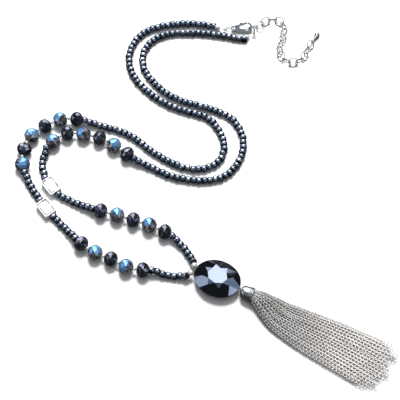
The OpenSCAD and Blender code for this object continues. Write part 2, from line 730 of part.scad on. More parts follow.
module clasp_body() {
    color("silver")
    in_clasp() {
        difference() {
            union() {
                linear_extrude(clasp_t, center = true)
                difference() {
                    claw_outline();
                    claw_opening();
                    lever_place(0);
                    circle(d = eye_d, $fn = 48);
                }
                for (z = [-1, 1])
                    translate([pin_at.x, pin_at.y, z * (clasp_t + lever_t + 2 * lever_gap) / 4])
                    cylinder(r = pin_d, h = (clasp_t - lever_t) / 2 - lever_gap, center = true, $fn = 32);
                cylinder(d = eye_d, h = eye_t, center = true, $fn = 48);
            }
            cylinder(d = eye_hole, h = 2 * clasp_t, center = true, $fn = 32);
            translate([pin_at.x, pin_at.y, 0])
            cylinder(r = pin_d + 2 * lever_gap, h = lever_t + 2 * lever_gap, center = true, $fn = 32);
        }
        translate([pin_at.x, pin_at.y, 0])
        cylinder(d = pin_d, h = clasp_t, center = true, $fn = 32);
    }
}

// Lever: an eye on the pin, the claw's fourth side and a thumb tab
module clasp_lever() {
    color("silver")
    in_clasp()
    difference() {
        union() {
            translate([pin_at.x, pin_at.y, 0])
            cylinder(r = pin_d, h = lever_t, center = true, $fn = 32);
            linear_extrude(lever_t, center = true)
            intersection() {
                difference() {
                    claw_outline();
                    claw_opening();
                }
                lever_place(-lever_gap);
                translate(pin_at)
                circle(claw_x + claw_bar / 2 - lever_gap - pin_at.x, $fn = 96);
            }
            translate([pin_at.x + 2 * pin_d, pin_at.y + claw_bar, 0])
            cylinder(r = pin_d, h = lever_t, center = true, $fn = 32);
        }
        translate([pin_at.x, pin_at.y, 0])
        cylinder(d = pin_d + 2 * pin_clear, h = 2 * clasp_t, center = true, $fn = 32);
    }
}

module clasp_ring() {
    color("silver")
    laid()
    linked((eye_at + loop_a) / 2, unit(eye_at - loop_a), clasp_ring_roll);
}

module hook_ring() {
    color("silver")
    laid()
    linked(lift(hook_at, hook_z), aim(hook_yaw), hook_roll);
}

module join_ring() {
    color("silver")
    laid()
    linked(join_at, [0, 1, 0], 90);
}

// Links along the extender's way, leaning left and right in turn, the first one flat
extender_way = way(concat([hook_at], extender_points));
function link_s(i) = i * link_pitch;
module extender_chain() {
    color("silver")
    laid()
    for (i = [1:links - 1])
        linked(lift(way_at(extender_way, link_s(i)), link_z),
            aim(way_yaw(extender_way, link_s(i))),
            i == 1 ? 0 : i % 2 == 0 ? link_roll : -link_roll);
}

// Drop: a turned body with an eye, hung on the last link
module extender_drop() {
    last = link_s(links - 1);
    yaw = way_yaw(extender_way, last + link_pitch / 2);
    eye_r = tip_loop_d / 2;
    reach = link_r + eye_r - link_wire / 2 - tip_wire / 2 - link_slack;
    neck = eye_r - tip_wire / 2;
    body = drop_l - eye_r;
    sag = link_z - drop_d / 2;
    aim_down = unit(lift(aim(yaw) * (reach + body), -sag));
    color("silver")
    laid()
    along(lift(way_at(extender_way, last), link_z) + aim_down * reach, aim_down) {
        rotate([links % 2 == 0 ? link_roll : -link_roll, 0, 0])
        ring(tip_loop_d + tip_wire, tip_wire);
        translate([neck, 0, 0])
        rotate([0, 90, 0])
        rotate_extrude()
        difference() {
            union() {
                polygon([[0, tip_wire / 2], [tip_wire / 2, tip_wire / 2],
                    [drop_cone[0] * drop_d / 2, drop_cone[1] * body], [0, body - drop_d / 2]]);
                translate([0, body - drop_d / 2])
                circle(d = drop_d, $fn = 48);
            }
            translate([-drop_l, -drop_l])
            square([drop_l, 3 * drop_l]);
        }
    }
}

pendant_stone();
pendant_cord();
tassel_cap();
tassel_fringe();
end_ball(side_a);  // end_bead_a
end_ball(side_b);  // end_bead_b
box(side_a);  // box_bead_a
box(side_b);  // box_bead_b
spacers(side_a, false);  // spacers_low_a
spacers(side_a, true);  // spacers_up_a
spacers(side_b, false);  // spacers_low_b
spacers(side_b, true);  // spacers_up_b
thread(side_a, -1, tip_a_at, tip_a_yaw);  // thread_a
thread(side_b, 1, tip_b_at, tip_b_yaw);  // thread_b
tip(tip_a_at, tip_a_yaw, 90);  // tip_a
tip(tip_b_at, tip_b_yaw, 0);  // tip_b
clasp_body();
clasp_lever();
clasp_ring();
join_ring();
hook_ring();
extender_chain();
extender_drop();
for (i = [1:4]) {
    seeds(side_a, i, tip_a_yaw);
    seeds(side_b, i, tip_b_yaw);
}
for (i = [1:low_count + up_count]) {
    crystal(side_a, i);
    crystal(side_b, i);
}
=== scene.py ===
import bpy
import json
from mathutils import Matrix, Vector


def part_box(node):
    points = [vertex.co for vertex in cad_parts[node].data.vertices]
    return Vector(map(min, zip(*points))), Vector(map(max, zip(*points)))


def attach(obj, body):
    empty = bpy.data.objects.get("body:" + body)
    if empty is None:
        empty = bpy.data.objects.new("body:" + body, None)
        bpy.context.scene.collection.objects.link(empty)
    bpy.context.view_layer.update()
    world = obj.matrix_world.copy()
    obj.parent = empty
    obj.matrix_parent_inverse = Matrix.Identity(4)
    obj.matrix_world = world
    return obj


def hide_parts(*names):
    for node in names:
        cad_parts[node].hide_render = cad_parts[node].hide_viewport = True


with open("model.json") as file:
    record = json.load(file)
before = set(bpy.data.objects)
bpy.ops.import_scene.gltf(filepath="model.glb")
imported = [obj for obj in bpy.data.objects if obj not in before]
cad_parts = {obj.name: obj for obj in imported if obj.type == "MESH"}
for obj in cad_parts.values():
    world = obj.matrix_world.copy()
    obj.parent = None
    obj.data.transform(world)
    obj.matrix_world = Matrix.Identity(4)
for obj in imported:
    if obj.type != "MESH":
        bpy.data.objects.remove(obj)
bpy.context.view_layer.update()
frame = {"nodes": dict(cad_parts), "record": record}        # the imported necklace: its bodies, nodes and record

import json
import math

import bmesh
import bpy
import numpy as np
from mathutils import Vector

mm = 0.001
nodes = frame["nodes"]
whole = "necklace"       # the body that the new pieces ride on


# camera
camera = {
    "target": (-0.29, -4.04, 0),     # mm, the point on the table in the middle of the picture
    "distance": 726.3,               # mm
    "elevation": 66,                 # degrees above the table
    "lens": 117,
    "sensor": 36,
    "clip": (0.01, 20),              # metres
}


def placeCamera(c):
    data = bpy.data.cameras.new("camera")
    data.lens = c["lens"]
    data.sensor_width = c["sensor"]
    data.clip_start, data.clip_end = c["clip"]
    eye = bpy.data.objects.new("camera", data)
    bpy.context.collection.objects.link(eye)
    lean = math.radians(c["elevation"])
    x, y, z = c["target"]
    away = c["distance"]
    eye.location = (x * mm, (y - away * math.cos(lean)) * mm, (z + away * math.sin(lean)) * mm)
    eye.rotation_euler = (math.pi / 2 - lean, 0, 0)
    bpy.context.scene.camera = eye


placeCamera(camera)
print("camera placed")


# shader wiring
def plug(tree, place, value):
    # links a wire into a socket, or sets the socket's own value
    if isinstance(value, Wire):
        tree.links.new(value.socket, place)
    elif place.type == "RGBA" and len(value) == 3:
        place.default_value = (*value, 1)
    else:
        place.default_value = value


class Wire:
    # one output socket; sums, products and quotients with wires or numbers add Math nodes
    def __init__(self, tree, socket):
        self.tree = tree
        self.socket = socket

    def maths(self, operation, *values):
        node = self.tree.nodes.new("ShaderNodeMath")
        node.operation = operation
        for place, value in zip(node.inputs, values):
            plug(self.tree, place, value)
        return Wire(self.tree, node.outputs[0])

    def __add__(self, other):
        return self.maths("ADD", self, other)

    def __radd__(self, other):
        return self.maths("ADD", other, self)

    def __sub__(self, other):
        return self.maths("SUBTRACT", self, other)

    def __rsub__(self, other):
        return self.maths("SUBTRACT", other, self)

    def __mul__(self, other):
        return self.maths("MULTIPLY", self, other)

    def __rmul__(self, other):
        return self.maths("MULTIPLY", other, self)

    def __truediv__(self, other):
        return self.maths("DIVIDE", self, other)

    def __rtruediv__(self, other):
        return self.maths("DIVIDE", other, self)

    def size(self):
        return self.maths("ABSOLUTE", self)

    def larger(self, other):
        return self.maths("MAXIMUM", self, other)


class Bench:
    # one node tree, and short ways to add nodes to it
    def __init__(self, owner):
        owner.use_nodes = True
        self.tree = owner.node_tree
        self.tree.nodes.clear()

    # any node: its type, its settings first, then the values or wires of its sockets,
    # where a socket goes by its name, or by i and its number
    def node(self, kind, settings=None, **sockets):
        node = self.tree.nodes.new(kind)
        for key, value in (settings or {}).items():
            if key == "stops":
                ramp = node.color_ramp
                while len(ramp.elements) < len(value):
                    ramp.elements.new(0.5)
                for element, (place, tint) in zip(ramp.elements, value):
                    element.position = place
                    element.color = (*tint, 1)
            else:
                setattr(node, key, value)
        for key, value in sockets.items():
            place = node.inputs[int(key[1:]) if key[1:].isdigit() else key]
            plug(self.tree, place, value)
        return node

    def wire(self, node, output=0):
        return Wire(self.tree, node.outputs[output])

    def ramp(self, value, stops):
        return self.wire(self.node("ShaderNodeValToRGB", {"stops": stops}, i0=value))

    def mixed(self, share, first, second):
        return self.wire(self.node("ShaderNodeMix", {"data_type": "RGBA"},
                                   i0=share, i6=first, i7=second), 2)

    def dot(self, first, second):
        return self.wire(self.node("ShaderNodeVectorMath", {"operation": "DOT_PRODUCT"},
                                   i0=first, i1=second), "Value")

    def stretch(self, value, low, high):
        # a soft step from 0 at low to 1 at high
        return self.wire(self.node("ShaderNodeMapRange", {"interpolation_type": "SMOOTHSTEP"},
                                   i0=value, i1=low, i2=high))


class Finish(Bench):
    # one material: a Principled shader, and what feeds it
    socketOf = {"color": "Base Color", "roughness": "Roughness", "metallic": "Metallic",
                "coat": "Coat Weight", "coatRoughness": "Coat Roughness", "normal": "Normal"}
    facetStep = 0.04                 # how far two facets' directions differ to draw differently
    drawWay = (1.0, 0.7, 0.3)        # a new draw moves all directions this way

    def __init__(self, name, **constants):
        self.material = bpy.data.materials.new(name)
        super().__init__(self.material)
        self.shader = self.node("ShaderNodeBsdfPrincipled")
        self.node("ShaderNodeOutputMaterial", None, Surface=self.wire(self.shader))
        for word, value in constants.items():
            self.feed(word, value)

    def feed(self, word, value):
        plug(self.tree, self.shader.inputs[self.socketOf[word]], value)

    def place(self):
        return self.wire(self.node("ShaderNodeTexCoord"), "Object")

    def facing(self):
        return self.wire(self.node("ShaderNodeTexCoord"), "Normal")

    def attribute(self, name):
        return self.wire(self.node("ShaderNodeAttribute", {"attribute_name": name}), "Fac")

    def noise(self, scale, detail=2.0, rough=0.5):
        # scale is the number of clouds per metre
        return self.wire(self.node("ShaderNodeTexNoise", None, Vector=self.place(),
                                   Scale=scale, Detail=detail, Roughness=rough), "Fac")

    def bump(self, height, strength, depth):
        self.feed("normal", self.wire(self.node(
            "ShaderNodeBump", None, Height=height, Strength=strength, Distance=depth)))

    # a random number for each flat facet: the way it faces, snapped to coarse steps, is the draw
    def facetDraw(self, turn):
        near = self.node("ShaderNodeVectorMath", {"operation": "SNAP"},
                         i0=self.facing(), i1=(self.facetStep,) * 3)
        moved = self.node("ShaderNodeVectorMath", {"operation": "ADD"},
                          i0=self.wire(near), i1=tuple(turn * part for part in self.drawWay))
        return self.wire(self.node("ShaderNodeTexWhiteNoise", None, Vector=self.wire(moved)), 0)


def paint(obj, finish):
    for slot in obj.material_slots:
        slot.material = finish.material
    if not obj.material_slots:
        obj.data.materials.append(finish.material)


# studio
studio = {
    # lamps that light the floor and throw the shadows:
    # name, direction towards the lamp, distance m, size m, watts, colour
    "lamps": [
        ("windowBox", (0.0, 0.50, 0.866), 1.2, (0.42, 0.36), 21.0, (1.0, 1.0, 1.0)),
        ("topBox", (0.0, 0.10, 0.99), 1.5, (2.2, 2.2), 12.5, (0.985, 0.99, 1.0)),
    ],
    # the room that polished surfaces mirror: dark, with pale panels
    "air": (0.042, 0.045, 0.053),
    "floorNear": (0.05, 0.05, 0.055),
    "floorFar": (0.165, 0.17, 0.185),
    # between which two values of a way's y, and of its z, the floor turns from near to far,
    # and the floor turns to air
    "floorTurn": (-0.3, 0.4),
    "horizon": (-0.06, 0.02),
    # name, degrees right of the far side, degrees up, half width, half height, colour
    "panels": [
        ("ceiling", 2, 71, 20, 12, (4.6, 4.9, 5.1)),
        ("farStrip", 2, 21, 40, 8, (4.5, 4.6, 5.4)),
        ("window", 3, 44, 27, 11, (5.4, 5.5, 5.6)),
        ("leftCard", -92, 32, 22, 9, (1.7, 1.95, 2.35)),
        ("leftHigh", -108, 49, 18, 5, (0.5, 0.65, 1.0)),
        ("rightLow", 95, 33, 10, 14, (0.7, 0.85, 1.2)),
        ("rightCard", 122, 40, 20, 8, (2.0, 2.2, 2.7)),
        ("rightHigh", 132, 56, 22, 6, (0.71, 0.89, 1.3)),
        ("nearCard", 180, 57, 45, 7, (0.32, 0.40, 0.55)),
    ],
    # how soft a panel's edges are, as shares of its half width and of its half height
    "softWide": 0.06,
    "softHigh": 0.15,
    "ahead": (0.0, 0.1),             # a panel shows only where the way lies this far towards it
}


def aim(right, up):
    # a direction from two angles: degrees right of the far side, and degrees up
    a, e = math.radians(right), math.radians(up)
    return Vector((math.sin(a) * math.cos(e), math.cos(a) * math.cos(e), math.sin(e)))


def lightStudio(s):
    for name, direction, away, size, watts, tint in s["lamps"]:
        data = bpy.data.lights.new(name, "AREA")
        data.shape = "RECTANGLE"
        data.size, data.size_y = size
        data.energy = watts
        data.color = tint
        lamp = bpy.data.objects.new(name, data)
        bpy.context.collection.objects.link(lamp)
        lamp.visible_glossy = False
        towards = Vector(direction).normalized()
        lamp.location = towards * away
        lamp.rotation_euler = towards.to_track_quat("Z", "Y").to_euler()
    world = bpy.data.worlds.new("studioAir")
    bpy.context.scene.world = world
    world.cycles_visibility.diffuse = False
    bench = Bench(world)
    way = bench.wire(bench.node("ShaderNodeTexCoord"), "Generated")
    y, z = bench.dot(way, (0, 1, 0)), bench.dot(way, (0, 0, 1))
    ground = bench.mixed(bench.stretch(y, *s["floorTurn"]), s["floorNear"], s["floorFar"])
    sky = bench.mixed(bench.stretch(z, *s["horizon"]), ground, s["air"])
    # a panel is lit where the way lies ahead, and its share beside and above is under the edge's
    for name, right, up, halfWide, halfHigh, tint in s["panels"]:
        ahead = aim(right, up)
        above = aim(right, up + 90)
        beside = ahead.cross(above)
        depth = bench.dot(way, tuple(ahead))
        wide = (bench.dot(way, tuple(beside)) / depth).size()
        high = (bench.dot(way, tuple(above)) / depth).size()
        edgeWide, edgeHigh = math.tan(math.radians(halfWide)), math.tan(math.radians(halfHigh))
        softWide, softHigh = edgeWide * s["softWide"], edgeHigh * s["softHigh"]
        lit = (bench.stretch(wide, edgeWide + softWide, edgeWide - softWide)
               * bench.stretch(high, edgeHigh + softHigh, edgeHigh - softHigh)
               * bench.stretch(depth, *s["ahead"]))
        sky = bench.mixed(lit, sky, tint)
    back = bench.node("ShaderNodeBackground", None, Color=sky, Strength=1.0)
    bench.node("ShaderNodeOutputWorld", None, Surface=bench.wire(back))
    bpy.context.scene.view_settings.view_transform = "Standard"


lightStudio(studio)
print("studio lit")


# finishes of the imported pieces
stoneLook = {
    "deep": (0.145, 0.16, 0.185),
    "tint": (0.175, 0.19, 0.215),
    "byFacet": 0.6,                  # shares of the tone that go by facet and by cloud
    "byCloud": 0.3,
    "clouds": 160.0,                 # per metre
    "roughness": 0.035,
    "rougher": 0.02,                 # how much rougher it is at most
}


def stoneFinish(look):
    # dark polished stone: a metal-like sheen with a slight change of tone from facet to facet
    f = Finish("polishedStone", metallic=1.0)
    tone = f.facetDraw(0.3)
    cloud = f.noise(look["clouds"], detail=3.0)
    f.feed("color", f.mixed(tone * look["byFacet"] + cloud * look["byCloud"],
                            look["deep"], look["tint"]))
    f.feed("roughness", look["roughness"] + cloud * look["rougher"])
    return f


blackLook = {
    "deep": (0.030, 0.032, 0.042),
    "pale": (0.14, 0.16, 0.205),
    "metal": 0.75,
    "roughness": 0.05,
    "rougher": 0.06,
    "coatRoughness": 0.03,
}


def blackFinish(look):
    # black glass with a clear coat, whose facets shine unevenly: a few are pale, most are deep
    f = Finish("blackGlass", metallic=look["metal"], coat=1.0,
               coatRoughness=look["coatRoughness"])
    tone = f.facetDraw(1.7)
    f.feed("color", f.mixed(tone * tone * tone, look["deep"], look["pale"]))
    f.feed("roughness", look["roughness"] + tone * look["rougher"])
    return f


blueLook = {
    "smoke": (0.030, 0.028, 0.030),
    "grey": (0.42, 0.41, 0.42),
    "blue": (0.11, 0.27, 0.58),
    "sky": (0.21, 0.43, 0.70),
    "bareMetal": 0.35,
    "coatMetal": 0.2,                # more on the coated side
    "roughness": 0.16,
    "rougher": 0.05,
    "gloss": 0.35,                   # the weight of the clear layer over all
    "glossRoughness": 0.05,
    "coatFrom": (0.74, 0.88),        # a facet that faces the coat less is bare, or more is coated
    "ragged": 0.4,                   # how far a facet's own draw moves that
    # the way the coated side of each blue bead faces, by bead
    "sides": {
        "crystal_a2": (-0.5, 0.1, 0.85), "crystal_a4": (0.1, 0.3, 0.9),
        "crystal_a6": (0.3, -0.2, 0.9), "crystal_a8": (0.2, 0.5, 0.8),
        "crystal_a10": (-0.3, 0.5, 0.8), "crystal_b2": (-0.2, 0.5, 0.8),
        "crystal_b4": (-0.1, 0.5, 0.8), "crystal_b6": (-0.2, 0.5, 0.8),
        "crystal_b8": (-0.6, 0.2, 0.7), "crystal_b10": (0.3, 0.2, 0.9),
    },
}


def blueFinish(name, side, look):
    # smoky glass with a mirror-blue coat on one side; whole facets are coated or bare
    f = Finish(name, coat=look["gloss"], coatRoughness=look["glossRoughness"])
    draw = f.facetDraw(side[0] * 3 + side[1])
    towards = f.dot(f.facing(), side)
    coat = f.stretch(towards + draw * look["ragged"], *look["coatFrom"])
    bare = f.mixed(draw * draw, look["smoke"], look["grey"])
    blue = f.mixed(f.facetDraw(5.1), look["blue"], look["sky"])
    f.feed("color", f.mixed(coat, bare, blue))
    f.feed("metallic", look["bareMetal"] + coat * look["coatMetal"])
    f.feed("roughness", look["roughness"] + draw * look["rougher"])
    return f


# the share of metal is under 1 where the plating is milky and shows the light by itself;
# grain is the number of wear lines per metre
silverLook = {
    "bead": {"tint": (0.86, 0.83, 0.77), "roughness": 0.12, "metal": 0.55, "grain": 900.0},
    "cap": {"tint": (0.46, 0.45, 0.435), "roughness": 0.24, "metal": 0.95, "grain": 900.0},
    "clasp": {"tint": (0.56, 0.52, 0.47), "roughness": 0.13, "metal": 0.93, "grain": 900.0},
    "link": {"tint": (0.42, 0.41, 0.39), "roughness": 0.38, "metal": 0.85, "grain": 900.0},
    "chain": {"tint": (0.80, 0.762, 0.72), "roughness": 0.30, "metal": 0.48, "grain": 1500.0},
    # the lower layers of chains: a darker copy of the chain's finish, painted shade under the top layer
    "inner": {"tint": (0.66, 0.63, 0.595), "roughness": 0.30, "metal": 0.50, "grain": 1500.0},
}
plating = {
    "dull": 0.86,                    # share of the tint that is left where the plating is dull
    "paintedShade": 0.16,                 # and where the painted shade is full
    "clouds": 220.0,                 # per metre
    "wear": 0.05,                    # mm
    "wearStrength": 0.12,
    "rougher": 0.07,                 # how much rougher it is where it is worn
}


def silverFinish(name, look):
    # plated metal: polish that varies a little, with fine wear lines
    f = Finish(name, metallic=look["metal"])
    cloud = f.noise(plating["clouds"], detail=3.0)
    wear = f.noise(look["grain"], detail=4.0, rough=0.7)
    tint = look["tint"]
    dull = tuple(value * plating["dull"] for value in tint)
    dark = tuple(value * plating["paintedShade"] for value in tint)
    # a piece may carry a tone for each point, its painted shade: 1 is fully shaded
    f.feed("color", f.mixed(f.attribute("tone"), f.mixed(cloud, dull, tint), dark))
    f.feed("roughness", look["roughness"] + wear * plating["rougher"])
    f.bump(wear, plating["wearStrength"], plating["wear"] * mm)
    return f


mirrorLook = {
    "tint": (0.72, 0.725, 0.73),
    # the colour of the painted shade in a line round the face, where it is sunk
    "recessShade": (0.06, 0.06, 0.065),
    "inset": 0.9,                    # mm from the bead's edge to the line of painted shade round its face, where the face is sunk
    "lineWidth": 0.45,               # mm
    "lineCore": 0.4,                 # the share of that width where the line is full
    "wander": 1.3,                   # mm that the line strays, from side to side
    "broken": (0.52, 0.64),            # the line is whole below the first and gone above the second
    "metal": 0.25,
    "roughness": 0.32,
    "rougher": 0.05,
    "dent": 0.2,                     # mm
    "dentStrength": 0.35,
    # clouds per metre for the line's straying and its breaks, the dents and the roughness
    "straying": 420.0,
    "breaking": 260.0,
    "denting": 330.0,
    "clouds": 120.0,
}


def mirrorFinish(name, node, look):
    # bright metal with a softly hammered face, and a line of painted shade a little inside its edge, where
    # the face is sunk: the line is where the larger of |x| - half length and |y| - half width is minus
    # the inset, with x and y along the bead's own sides, found by turning its outline to its narrowest
    f = Finish(name, metallic=look["metal"])
    points = np.array([list(vert.co) for vert in node.data.vertices])
    centre = (points.max(axis=0) + points.min(axis=0)) / 2
    flat = (points - centre)[:, :2]
    turns = np.radians(np.arange(180))
    reach = np.abs(flat @ np.stack([np.cos(turns), np.sin(turns)])).max(axis=0)
    turn = turns[np.argmin(reach)]
    short = (float(np.cos(turn)), float(np.sin(turn)), 0.0)
    far = (-short[1], short[0], 0.0)
    local = f.wire(f.node("ShaderNodeVectorMath", {"operation": "SUBTRACT"},
                          i0=f.place(), i1=tuple(float(value) for value in centre)))
    halfShort = float(reach.min()) / mm
    halfLong = float(np.abs(flat @ np.array(far[:2])).max()) / mm
    edge = ((f.dot(local, short) * 1000).size() - halfShort).larger(
        (f.dot(local, far) * 1000).size() - halfLong)
    drift = f.noise(look["straying"]) * look["wander"] - look["wander"] / 2
    line = f.stretch((edge + look["inset"] + drift).size(),
                     look["lineWidth"] * look["lineCore"], look["lineWidth"])
    line = line.larger(f.stretch(f.noise(look["breaking"], detail=1.0), *look["broken"]))
    dents = f.noise(look["denting"], detail=1.0, rough=0.4)
    cloud = f.noise(look["clouds"])
    # the line is painted shade, standing for the dark step where the face is sunk
    f.feed("color", f.mixed(line, look["recessShade"], look["tint"]))
    f.feed("roughness", look["roughness"] + cloud * look["rougher"])
    f.bump(dents, look["dentStrength"], look["dent"] * mm)
    return f


threadLook = {
    "dark": (0.05, 0.05, 0.06),
    "pale": (0.16, 0.16, 0.18),
    "fibres": 2500.0,                # per metre
    "relief": 0.05,                  # mm
    "reliefStrength": 0.4,
    "roughness": 0.7,
}


def threadFinish(look):
    f = Finish("waxedThread", roughness=look["roughness"])
    fibre = f.noise(look["fibres"])
    f.feed("color", f.mixed(fibre, look["dark"], look["pale"]))
    f.bump(fibre, look["reliefStrength"], look["relief"] * mm)
    return f


silver = {kind: silverFinish(kind + "Silver", look) for kind, look in silverLook.items()}
thread = threadFinish(threadLook)
finishOf = {"stone": stoneFinish(stoneLook), "black_crystal": blackFinish(blackLook),
            "bead_metal": silver["bead"], "cap_metal": silver["cap"],
            "clasp_metal": silver["clasp"], "thread": thread}
softLinks = ("extender_chain", "clasp_ring", "hook_ring", "join_ring")
slotOf = {part["node"]: part["material_slot"] for part in frame["record"]["subparts"]}
for name, obj in nodes.items():
    slotName, ending = slotOf[name], name.split("_")[-1]
    if slotName == "blue_crystal":
        paint(obj, blueFinish("blueGlass_" + ending, blueLook["sides"][name], blueLook))
    elif slotName == "mirror_bead":
        paint(obj, mirrorFinish("mirrorMetal_" + ending, obj, mirrorLook))
    elif name in softLinks:
        paint(obj, silver["link"])
    elif slotName in finishOf:
        paint(obj, finishOf[slotName])
print("packed pieces painted")


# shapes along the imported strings
def ringsOf(node, near=0.01 * mm, sharp=70):
    # the rings of a packed tube, in order: a merged copy is walked edge by edge from the sharp rim
    # of one end
    work = bmesh.new()
    work.from_mesh(node.data)
    bmesh.ops.remove_doubles(work, verts=work.verts, dist=near)
    work.verts.index_update()
    rim = {edge for edge in work.edges if edge.calc_face_angle(0) > math.radians(sharp)}
    first = min((vert for edge in rim for vert in edge.verts), key=lambda vert: vert.index)
    ring, queue = {first}, [first]
    while queue:
        vert = queue.pop()
        beside = {edge.other_vert(vert) for edge in vert.link_edges if edge in rim} - ring
        ring |= beside
        queue.extend(beside)
    seen, rings = set(ring), []
    while ring:
        rings.append(np.array([list(vert.co) for vert in sorted(ring, key=lambda v: v.index)]))
        ring = {edge.other_vert(vert) for vert in ring for edge in vert.link_edges} - seen
        seen |= ring
    work.free()
    return rings


def smoothLine(points, per=12):
    # a curve through points: each stretch is a cubic whose slopes come from the points beside it
    p = np.vstack([2 * points[:1] - points[1:2], points, 2 * points[-1:] - points[-2:-1]])
    t = (np.arange(per) / per)[None, :, None]
    a, b, c, d = (p[i:len(p) - 3 + i, None, :] for i in range(4))
    line = 0.5 * (2 * b + (c - a) * t + (2 * a - 5 * b + 4 * c - d) * t ** 2
                  + (3 * b - a - 3 * c + d) * t ** 3)
    return np.vstack([line.reshape(-1, 3), points[-1:]])


def goneAlong(line):
    # the distance from the start of a line to each of its points
    return np.concatenate([[0], np.cumsum(np.linalg.norm(np.diff(line, axis=0), axis=1))])


def lengthOf(line):
    return float(np.linalg.norm(np.diff(line, axis=0), axis=1).sum())


def along(line, run, near=0.3 * mm):
    # points at given distances along a line, and the directions there, taken over a short stretch
    gone = goneAlong(line)
    at, ahead, behind = (np.stack([np.interp(run + step, gone, line[:, k]) for k in range(3)], -1)
                         for step in (0, near, -near))
    way = ahead - behind
    return at, way / np.linalg.norm(way, axis=-1, keepdims=True)


def sidesOf(way):
    # for each direction, one level direction across it and one that completes the pair
    across = np.cross(np.array([0.0, 0.0, 1.0]), way)
    across /= np.linalg.norm(across, axis=-1, keepdims=True)
    return across, np.cross(way, across)


def gridFaces(count, rows, columns):
    # quads of many closed grids, each rows x columns and joined round both ways
    r, c = np.meshgrid(np.arange(rows), np.arange(columns), indexing="ij")
    r2, c2 = (r + 1) % rows, (c + 1) % columns
    quad = np.stack([r * columns + c, r2 * columns + c, r2 * columns + c2, r * columns + c2], -1)
    start = (np.arange(count) * rows * columns)[:, None, None]
    return (start + quad.reshape(1, -1, 4)).reshape(-1, 4).tolist()


def tubeAlong(line, radius, sides):
    # a closed tube: a circle of points carried along a line, with its two ends filled
    way = np.gradient(line, axis=0)
    way /= np.linalg.norm(way, axis=1, keepdims=True)
    across, up = sidesOf(way)
    u = np.linspace(0, 2 * np.pi, sides, endpoint=False)[None, :, None]
    circle = across[:, None, :] * np.cos(u) + up[:, None, :] * np.sin(u)
    points = line[:, None, :] + circle * radius
    count = len(line)
    r, c = np.meshgrid(np.arange(count - 1), np.arange(sides), indexing="ij")
    c2 = (c + 1) % sides
    quads = np.stack([r * sides + c, r * sides + c2, (r + 1) * sides + c2, (r + 1) * sides + c], -1)
    ends = [list(range(sides))[::-1], list(range((count - 1) * sides, count * sides))]
    return points, quads.reshape(-1, 4).tolist() + ends


def makePiece(name, points, faces, finish, tones=None, replaced=()):
    mesh = bpy.data.meshes.new(name)
    mesh.from_pydata(points.reshape(-1, 3).tolist(), [], faces)
    mesh.polygons.foreach_set("use_smooth", np.ones(len(mesh.polygons), dtype=bool))
    if tones is not None:
        mesh.attributes.new("tone", "FLOAT", "POINT").data.foreach_set(
            "value", tones.astype(np.float32).ravel())
    mesh.update()
    obj = bpy.data.objects.new(name, mesh)
    bpy.context.collection.objects.link(obj)
    obj.data.materials.append(finish.material)
    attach(obj, whole)
    if replaced:
        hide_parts(*replaced)


# seed beads
seedBeads = {
    "pitch": 3.05,                   # mm along the string
    "radius": 2.2,                   # mm
    "hole": 0.35,                    # mm, its radius
    "fill": 0.54,                    # half length of a bead as a share of its pitch
    "lean": 0.15,                    # how far a bead may lean on the string, as a slope
    "leanUp": 0.5,                   # the share of that which it may lean up or down
    "stray": 0.2,                    # mm that a bead may lie beside the string
    "strays": (0.3, 1.0),            # the share of that by which a bead does
    "smaller": 0.025,                # how much smaller a bead may be, as a share
    "shorter": 0.015,                # and how much shorter
    "tones": (0.4, 1.0),             # the beads' own tones, from teal to silver
    "around": 12,
    "section": (-66, -22, 22, 66, 135, 225),     # degrees round a bead's section
    "endShade": 0.5,                    # a section's points past this share of its length get painted shade, where the bead meets the next
    "string": 0.2,                   # mm, the radius of the string that shows between beads
    "stringSides": 6,
    "stringStep": 6,                 # the string passes through each sixth point of its curve
    "randomSeed": 4,
}
seedLook = {
    # tone and colour: painted shade at the ends of a bead, where it meets the next, then teal, blue, violet and
    # silver beads
    "colors": ((0.05, (0.012, 0.014, 0.02)), (0.4, (0.165, 0.215, 0.24)),
               (0.6, (0.20, 0.235, 0.295)), (0.85, (0.27, 0.275, 0.33)),
               (0.98, (0.52, 0.55, 0.56))),
    "clouds": 700.0,                 # per metre
    "cloudTone": 0.15,               # how far the clouds move a bead's tone, from side to side
    "roughness": 0.03,
    "rougher": 0.05,
    "metal": 0.95,
    "coat": 0.3,
    "coatRoughness": 0.05,
    "dimples": 520.0,                # per metre
    "dimple": 0.3,                   # mm
    "dimpleStrength": 0.5,
}


def seedFinish(look):
    # dark lustred glass; each bead has its own tone, and painted shade at its ends where it meets the next
    f = Finish("seedGlass", metallic=look["metal"], coat=look["coat"],
               coatRoughness=look["coatRoughness"])
    cloud = f.noise(look["clouds"])
    tone = f.attribute("tone") + (cloud - 0.5) * look["cloudTone"]
    f.feed("color", f.ramp(tone, look["colors"]))
    f.feed("roughness", look["roughness"] + cloud * look["rougher"])
    f.bump(f.noise(look["dimples"], detail=1.0), look["dimpleStrength"], look["dimple"] * mm)
    return f


